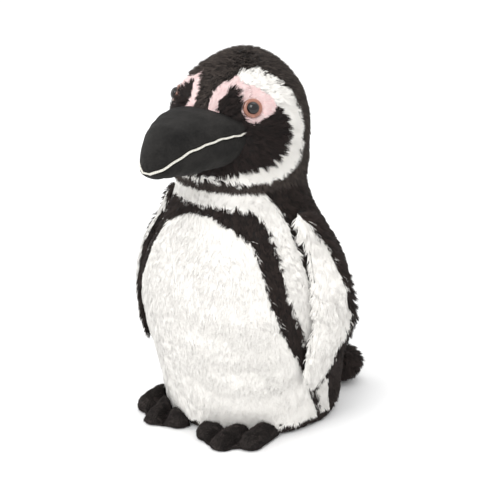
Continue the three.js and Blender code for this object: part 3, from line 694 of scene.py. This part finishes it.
def beak_rings(upper):
    """Rings of one half of the beak: a padded arch that rolls in at the seam, closed by a flat."""
    rings = []
    sign = 1 if upper else -1
    for i in range(BEAK_STEPS + 1):
        share = math.sin(math.pi / 2 * i / BEAK_STEPS)
        ahead, half, top, mouth, under = through(BEAK_STATIONS, share) * MM
        rise = (top - mouth) if upper else (mouth - under)
        ring = []
        for j in range(BEAK_SIDES + 1):
            turn = math.pi * j / BEAK_SIDES
            near = min(turn, math.pi - turn)
            roll = 1.2 * MM * math.exp(-((near / 0.16) ** 2))
            x = (half - roll) * math.copysign(abs(math.cos(turn)) ** 0.92, math.cos(turn))
            z = PIPING * 0.7 + (rise - PIPING) * math.sin(turn) ** 0.9
            ring.append((sign * x, HEAD_AXIS_Y - ahead, mouth + wobble(ahead) + sign * z))
        rings.append(ring)
    return rings


def wobble(ahead):
    """The sewn mouth line isn't quite straight."""
    s = ahead / MM
    return 0.35 * MM * math.sin(0.55 * s) + 0.25 * MM * math.sin(0.23 * s + 1)


def piping_rings():
    rings = []
    for i in range(BEAK_STEPS + 1):
        share = math.sin(math.pi / 2 * i / BEAK_STEPS)
        ahead, half, _, mouth, _ = through(BEAK_STATIONS, share) * MM
        ring = []
        for j in range(BEAK_SIDES):
            turn = 2 * math.pi * j / BEAK_SIDES
            lift = PIPING * math.copysign(abs(math.sin(turn)) ** 0.35, math.sin(turn))
            side = (half + 0.1 * MM) * math.cos(turn)
            ring.append((side, HEAD_AXIS_Y - ahead, mouth + wobble(ahead) + lift))
        rings.append(ring)
    return rings


def add_beak():
    nap = velour("beak_velour", (0.0025, 0.0023, 0.0022), (0.025, 0.0235, 0.022), 0.03, (0.5, 0.47, 0.45))
    for name, upper in (("beak_upper", True), ("beak_lower", False)):
        piece = loft(f"{name}_velour", beak_rings(upper), [nap])
        on_body(piece, "head", [name])
    pale = woven("piping_cloth", (0.56, 0.54, 0.48), (0.80, 0.78, 0.72), 260)
    line = loft("mouth_piping", piping_rings(), [pale])
    on_body(line, "head", ["mouth_line"])


# ---- Eyes ---------------------------------------------------------------------------------------


def disc_place(node):
    """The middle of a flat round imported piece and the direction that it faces, away from the head."""
    points, _ = node_mesh(node)
    middle = (points.max(axis=0) + points.min(axis=0)) / 2
    middle = points.mean(axis=0) if np.linalg.norm(points.mean(axis=0) - middle) < MM else middle
    normal = np.linalg.svd(points - points.mean(axis=0))[2][2]
    if (normal * from_axis(middle[None])[0]).sum() < 0:
        normal = -normal
    return middle, normal


def turned(name, profile, middle, normal, material):
    """A round piece: radius and height pairs turned about the direction that it faces."""
    side = unit(np.cross(normal, [0, 0, 1]))
    other = np.cross(normal, side)
    sides = 48
    rings = []
    for radius, height in profile:
        ring = []
        for j in range(sides):
            turn = -2 * math.pi * j / sides
            out = math.cos(turn) * side + math.sin(turn) * other
            ring.append(tuple(middle + normal * height * MM + out * max(radius, 0.01) * MM))
        rings.append(ring)
    return loft(name, rings, [material])


# Radius and height, in millimetres, of the post behind the eye's dome and of the disc round it.
EYE_POST = [(1.5, -9), (1.6, -0.2), (4.3, -0.1), (4.4, 0.4)]
IRIS_PROFILE = [
    (1.9, -0.9), (6.7, -0.9), (6.9, -0.5), (6.85, 0), (6.5, 0.4), (5.8, 0.75), (4.9, 0.85), (1.9, 0.6),
]


def add_eyes():
    black = plastic("eye_black_gloss", (0.003, 0.0025, 0.0025), (0.008, 0.006, 0.006), 0.08, 0.0)
    brown = plastic("iris_brown", (0.20, 0.075, 0.045), (0.36, 0.15, 0.10), 0.28, 0.6)
    clear = plastic("washer_natural", (0.62, 0.62, 0.60), (0.72, 0.72, 0.70), 0.4, 0.0)
    for side in ("left", "right"):
        middle, normal = disc_place(f"iris_{side}")
        middle = middle + normal * 1.0 * MM
        dome = [(4.4 * math.cos(a), 0.9 + 3.0 * math.sin(a)) for a in np.linspace(0, math.pi / 2, 14)]
        eye = turned(f"eye_{side}_dome", EYE_POST + dome, middle, normal, black)
        on_body(eye, "head", [f"eye_{side}"])
        disc = turned(f"iris_{side}_disc", IRIS_PROFILE, middle, normal, brown)
        on_body(disc, "head", [f"iris_{side}"])
        NODES[f"eye_washer_{side}"].data.materials.clear()
        NODES[f"eye_washer_{side}"].data.materials.append(clear)


# ---- Flippers -----------------------------------------------------------------------------------


def comb_flipper(points, normals):
    """Pile on a flipper lies along it, back at the shoulder and forward at the tip."""
    along = np.tile([0.0, 0.0, -1.0], (len(points), 1))
    along[:, 1] = np.interp(points[:, 2] / MM, [45, 98, 172], [-0.35, -0.05, 0.25])
    return unit(tangent(along, normals))


def add_flipper(side, seed):
    body = f"flipper_{side}"
    outward = unit(np.array([0.9 if side == "left" else -0.9, -0.42, 0.0]))
    white = outer_surface(f"{body}_white", lambda centres: np.tile(outward, (len(centres), 1)), 0.12)
    black = outer_surface(f"{body}_black", lambda centres: np.tile(-outward, (len(centres), 1)), 0.12)

    def across(points):
        """Where a point lies between the front edge, -1, and the rear edge, 1."""
        middle, half = (np.interp(points[:, 2] / MM, FLIPPER_ROWS[:, 0], FLIPPER_ROWS[:, k]) for k in (1, 2))
        return (points[:, 1] / MM - middle) / half

    def on_rear_border(points):
        return across(points) > np.interp(points[:, 2] / MM, FLIPPER_ROWS[:, 0], FLIPPER_ROWS[:, 3])

    def on_front_border(points):
        return across(points) < FRONT_LAP[side]

    def in_white(points):
        return ~(on_rear_border(points) | on_front_border(points))

    def off_front_edge(points):
        return across(points) > BARE_EDGE[side]

    def rearward(points, directions):
        return np.clip(directions[:, 1] + 0.4, 0, 1)

    def under_black(points):
        return ~in_white(points)

    skin(f"{body}_white_cloth", f"{body}_white", body, white, WHITE_BACKING, under_black)
    skin(f"{body}_black_cloth", f"{body}_black", body, black, BLACK_BACKING)
    for name, surface, pile, slot, keep in (
        ("white", white, FLIPPER_PILE, "white_plush", in_white),
        ("border", white, FRINGE_PILE, "black_plush", on_rear_border),
        ("lap", white, LAP_PILE, "black_plush", on_front_border),
        ("black", black, BLACK_PILE, "black_plush", off_front_edge),
    ):
        grow(f"{body}_{name}_pile", body, surface, pile, comb_flipper, slot, seed, keep, rearward)
        seed += 1


def add_flippers():
    add_flipper("left", 21)
    add_flipper("right", 25)


# ---- Feet ---------------------------------------------------------------------------------------


def apply_modifiers(piece):
    graph = bpy.context.evaluated_depsgraph_get()
    mesh = bpy.data.meshes.new_from_object(piece.evaluated_get(graph))
    piece.modifiers.clear()
    piece.data = mesh


def corners(piece):
    points = np.empty(len(piece.data.vertices) * 3)
    piece.data.vertices.foreach_get("co", points)
    return points.reshape(-1, 3)


def move_corners(piece, points):
    piece.data.vertices.foreach_set("co", points.reshape(-1))
    piece.data.update()


def joined_nodes(name, nodes, extra):
    """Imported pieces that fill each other, and one more piece, as one object."""
    points = [corners(extra)]
    faces = [tuple(polygon.vertices) for polygon in extra.data.polygons]
    bpy.data.objects.remove(extra)
    for node in nodes:
        start = sum(len(some) for some in points)
        more_points, triangles = node_mesh(node)
        points.append(more_points)
        faces += [tuple(triangle) for triangle in triangles + start]
    return mesh_object(name, np.concatenate(points), faces, [])


def on_foot(x, y, side):
    """A place on the left foot, or the same place on the right one, in millimetres."""
    if side == "left":
        return x, y
    return -x + RIGHT_FOOT_SHIFT[0], y + RIGHT_FOOT_SHIFT[1]


def web(side):
    corners_flat = [on_foot(x, y, side) for x, y in WEB]
    if side == "left":
        corners_flat.reverse()
    rings = [[(x * MM, y * MM, z * MM) for x, y in corners_flat] for z in (SOLE, WEB_HEIGHT)]
    return loft(f"web_{side}", rings, [])


def stitch_gap(points, side):
    """Distance of each point from the nearest row of stitches, seen from above."""
    gaps = []
    for ends in TOE_STITCHES:
        (x0, y0), (x1, y1) = (on_foot(x, y, side) for x, y in ends)
        start, way = np.array([x0, y0]) * MM, np.array([x1 - x0, y1 - y0]) * MM
        share = np.clip((points[:, :2] - start) @ way / (way @ way), 0, 1)
        gaps.append(np.linalg.norm(points[:, :2] - start - share[:, None] * way, axis=1))
    return np.min(gaps, axis=0)


def creases(points):
    """Small folds along the toes, in metres up."""
    x, y, z = (points / MM).T
    wave = np.sin(0.9 * x + 0.35 * y + 0.8 * np.sin(0.3 * y))
    return 0.3 * MM * wave * np.sin(0.22 * y + 0.4 * z + 0.1 * x)


def inflate(piece, pinned):
    """Air pressure swells the velour between the stitches, as stuffing does."""
    before = corners(piece)
    group = piece.vertex_groups.new(name="stitches")
    group.add([int(i) for i in np.flatnonzero(pinned)], 1.0, "REPLACE")
    cloth = piece.modifiers.new("cloth", "CLOTH")
    cloth.settings.vertex_group_mass = "stitches"
    cloth.settings.use_pressure = True
    cloth.settings.uniform_pressure_force = FOOT_PRESSURE
    cloth.settings.effector_weights.gravity = 0
    for step in range(1, SIMULATED_FRAMES + 1):
        bpy.context.scene.frame_set(step)
    apply_modifiers(piece)
    bpy.context.scene.frame_set(1)
    moved = corners(piece) - before
    far = np.linalg.norm(moved, axis=1, keepdims=True)
    move_corners(piece, before + moved * np.minimum(1, MOST_SWELL / np.maximum(far, 1e-9)))


def upper_surface(piece):
    """The part of a made piece that faces up or out, to grow pile on."""
    piece.data.calc_loop_triangles()
    triangles = np.empty(len(piece.data.loop_triangles) * 3, int)
    piece.data.loop_triangles.foreach_get("vertices", triangles)
    normals = np.empty(len(piece.data.vertices) * 3)
    piece.data.vertices.foreach_get("normal", normals)
    points = corners(piece)
    triangles, normals = triangles.reshape(-1, 3), normals.reshape(-1, 3)
    seen = (points[triangles, 2].max(axis=1) > 1 * MM) & (normals[triangles, 2].min(axis=1) > -0.7)
    no_rim = np.array([[0.0, 0.0, -1.0]])
    return Surface(points, triangles[seen], normals, no_rim, no_rim)


def comb_toes(points, normals):
    """Nap brushed towards the tips of the toes."""
    return unit(tangent(np.tile([0.0, -1.0, -0.2], (len(points), 1)), normals))


def add_foot(side, nap):
    nodes = [f"foot_{side}_{part}" for part in ("upper", "sole", "fill")]
    foot = joined_nodes(f"foot_{side}_padded", nodes, web(side))
    merge = foot.modifiers.new("merge", "REMESH")
    merge.mode = "VOXEL"
    merge.voxel_size = FOOT_VOXEL
    soften = foot.modifiers.new("soften", "SMOOTH")
    soften.factor = 0.5
    soften.iterations = 3
    apply_modifiers(foot)
    points = corners(foot)
    slope = np.array(TOE_SLOPE)
    points[:, 2] *= np.interp(points[:, 1] / MM, slope[:, 0], slope[:, 1])
    high = np.clip(points[:, 2] / STITCH_FADE, 0, 1)
    points[:, 2] -= STITCH_DEPTH * high * np.exp(-((stitch_gap(points, side) / STITCH_WIDTH) ** 2))
    move_corners(foot, points)
    fast = (points[:, 2] < FOOT_SOLE_FAST) | (points[:, 1] > FOOT_ROOT_Y)
    inflate(foot, fast | (stitch_gap(points, side) < FOOT_VOXEL))
    finer = foot.modifiers.new("finer", "SUBSURF")
    finer.levels = 1
    apply_modifiers(foot)
    points = corners(foot)
    middle = points.mean(axis=0)
    points[:, 2] += creases(points) * np.clip(points[:, 2] / STITCH_FADE, 0, 1)
    seam = SEAM_SHARE * np.exp(-(((points[:, 2] - SEAM_HEIGHT) / SEAM_WIDTH) ** 2))[:, None]
    points[:, :2] += (middle[:2] - points[:, :2]) * seam
    points[:, 2] = np.maximum(points[:, 2], FLOOR_CLEARANCE)
    move_corners(foot, points)
    foot.data.materials.clear()
    foot.data.materials.append(nap)
    foot.data.polygons.foreach_set("use_smooth", [True] * len(foot.data.polygons))
    on_body(foot, f"foot_{side}", nodes)
    grow(f"foot_{side}_nap", f"foot_{side}", upper_surface(foot), VELOUR_PILE, comb_toes, "velour", 41)


def add_feet():
    nap = velour("foot_velour", (0.0022, 0.0018, 0.0016), (0.016, 0.0125, 0.0115), 0.05, (0.5, 0.42, 0.39))
    for side in ("left", "right"):
        add_foot(side, nap)


# ---- Tail ---------------------------------------------------------------------------------------


def add_tail():
    low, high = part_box("tail_cover")
    middle = np.array((low + high) / 2)

    def from_middle(centres):
        return unit(centres - middle)

    plush("tail_cover", "tail", TAIL_PILE, BLACK_BACKING, "black_plush", 31, from_middle, 0.3)


# ---- Inside -------------------------------------------------------------------------------------


def add_inside():
    white_fibre = fibre("stuffing_fibre", (0.70, 0.69, 0.66), (0.90, 0.89, 0.87))
    pouch = woven("pouch_cloth_weave", (0.45, 0.42, 0.36), (0.66, 0.62, 0.55), 220)
    for name, node in NODES.items():
        if name.endswith(("_fill", "_batting")):
            node.data.materials.clear()
            node.data.materials.append(white_fibre)
    NODES["pellet_bag"].data.materials.clear()
    NODES["pellet_bag"].data.materials.append(pouch)


# ---- Stage --------------------------------------------------------------------------------------

CAMERA_AZIMUTH = math.radians(37)
CAMERA_ELEVATION = math.radians(20)
CAMERA_DISTANCE = 1.2
CAMERA_TARGET = Vector((0, -0.003, 0.126))
LENS = 113.7
SENSOR = 36
FLOOR_DROP = 0.3 * MM  # below the toy, so that the floor and the base don't share a plane
FLOOR_REACH = 8
LIGHT_TARGET = Vector((0, 0, 0.12))


def add_camera():
    data = bpy.data.cameras.new("camera")
    data.lens = LENS
    data.sensor_width = SENSOR
    camera = bpy.data.objects.new("camera", data)
    bpy.context.scene.collection.objects.link(camera)
    level = math.cos(CAMERA_ELEVATION)
    across, back = math.sin(CAMERA_AZIMUTH), -math.cos(CAMERA_AZIMUTH)
    way = Vector((across * level, back * level, math.sin(CAMERA_ELEVATION)))
    camera.location = CAMERA_TARGET + way * CAMERA_DISTANCE
    camera.rotation_euler = way.to_track_quat("Z", "Y").to_euler()
    bpy.context.scene.camera = camera


def add_light(name, location, size, power):
    data = bpy.data.lights.new(name, "AREA")
    data.size = size
    data.energy = power
    light = bpy.data.objects.new(name, data)
    light.location = location
    light.rotation_euler = (Vector(location) - LIGHT_TARGET).to_track_quat("Z", "Y").to_euler()
    bpy.context.scene.collection.objects.link(light)


def add_stage():
    floor_paper, shader = principled("floor_paper", (0.93, 0.93, 0.93), 0.9)
    grain = add_node(floor_paper, "ShaderNodeTexNoise", {"Scale": 40, "Detail": 2})
    link(floor_paper, place(floor_paper), "Vector", grain, "Vector")
    tone = ramp_between(floor_paper, grain, "Fac", 0.3, 0.7, (0.92, 0.92, 0.92), (0.94, 0.94, 0.94))
    link(floor_paper, tone, "Color", shader, "Base Color")
    reach = FLOOR_REACH
    outline = [(-reach, -reach, 0), (reach, -reach, 0), (reach, reach, 0), (-reach, reach, 0)]
    floor = mesh_object("floor", outline, [(0, 1, 2, 3)], [floor_paper], smooth=False)
    floor.location.z = -FLOOR_DROP
    world = bpy.data.worlds.new("studio")
    world.use_nodes = True
    world.node_tree.nodes["Background"].inputs["Color"].default_value = (1, 1, 1, 1)
    world.node_tree.nodes["Background"].inputs["Strength"].default_value = 1.0
    bpy.context.scene.world = world
    add_light("key", (0.3, -1.3, 1.5), 1.0, 16)
    add_light("left_fill", (-1.4, -0.5, 0.9), 1.2, 4)
    add_light("top", (0.1, 0.5, 1.8), 1.4, 8)
    bpy.context.scene.view_settings.view_transform = "Standard"


add_camera()
add_stage()
add_feet()
add_trunk()
add_base()
add_head()
add_beak()
add_eyes()
add_flippers()
add_tail()
add_inside()
